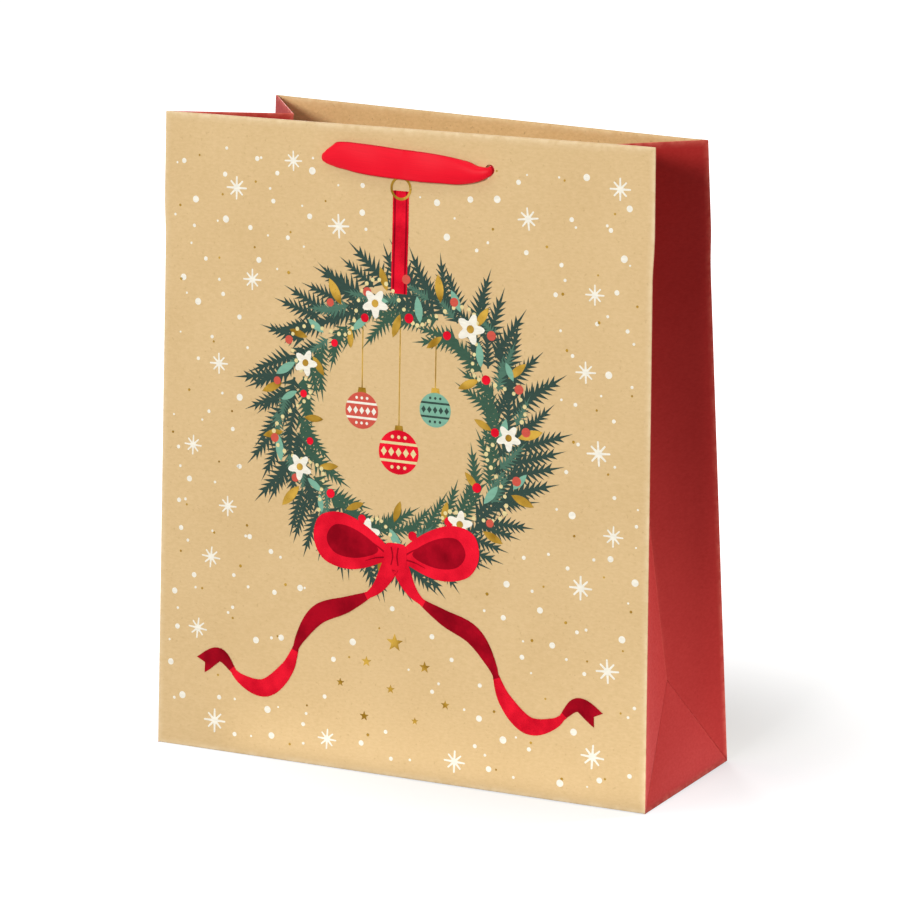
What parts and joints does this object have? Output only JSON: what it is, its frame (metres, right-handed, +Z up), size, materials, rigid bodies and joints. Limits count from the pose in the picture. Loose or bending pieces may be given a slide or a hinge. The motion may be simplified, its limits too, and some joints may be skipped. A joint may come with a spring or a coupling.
{
  "type": "gift bag",
  "caption": "Standing kraft paper gift bag with folded red side gussets, a card-stiffened turned mouth and satin ribbon handles that pull out through punched holes.",
  "frame": {"origin": "middle of the base, on the table", "axes": "+Z up out of the mouth, +X to the right as the printed front is read, +Y to the back"},
  "size_m": [0.26, 0.123, 0.3099],
  "materials": {
    "printed_kraft": "matte kraft with print",
    "red_paper": "satin red print on paper",
    "plain_kraft": "matte kraft",
    "grey_card": "matte grey board",
    "red_satin": "satin weave"
  },
  "bodies": {
    "base": {"base_front_flap": "plain_kraft", "base_rear_flap": "plain_kraft", "left_base_flap": "red_paper", "right_base_flap": "red_paper", "base_board": "grey_card", "left_gusset_front": "red_paper", "left_gusset_rear": "red_paper", "left_gusset_foot": "red_paper", "right_gusset_front": "red_paper", "right_gusset_rear": "red_paper", "right_gusset_foot": "red_paper", "left_hem_front": "red_paper", "left_hem_rear": "red_paper", "right_hem_front": "red_paper", "right_hem_rear": "red_paper"},
    "front": {"front_panel": "printed_kraft", "front_top_card": "grey_card", "front_hem": "plain_kraft", "front_ribbon_tails": "red_satin"},
    "back": {"back_panel": "printed_kraft", "back_top_card": "grey_card", "back_hem": "plain_kraft", "side_seam_flap": "plain_kraft", "back_ribbon_tails": "red_satin"},
    "front_handle": {"front_ribbon": "red_satin", "front_knots": "red_satin"},
    "back_handle": {"back_ribbon": "red_satin", "back_knots": "red_satin"}
  },
  "joints": [
    {"name": "front_fold", "type": "hinge", "parent": "base", "child": "front", "pos_m": [0, -0.052, 0], "axis": [-1, 0, 0], "range_deg": [-2, 4], "deforming": ["left_gusset_front", "right_gusset_front", "left_hem_front", "right_hem_front"]},
    {"name": "back_fold", "type": "hinge", "parent": "base", "child": "back", "pos_m": [0, 0.052, 0], "axis": [1, 0, 0], "range_deg": [-2, 5], "deforming": ["left_gusset_rear", "right_gusset_rear", "left_hem_rear", "right_hem_rear"]},
    {"name": "front_handle_pull", "type": "slide", "parent": "front", "child": "front_handle", "axis": [0, 0, 1], "range_m": [0, 0.08], "deforming": ["front_ribbon_tails"]},
    {"name": "back_handle_pull", "type": "slide", "parent": "back", "child": "back_handle", "axis": [0, 0, 1], "range_m": [0, 0.08], "deforming": ["back_ribbon_tails"]}
  ]
}
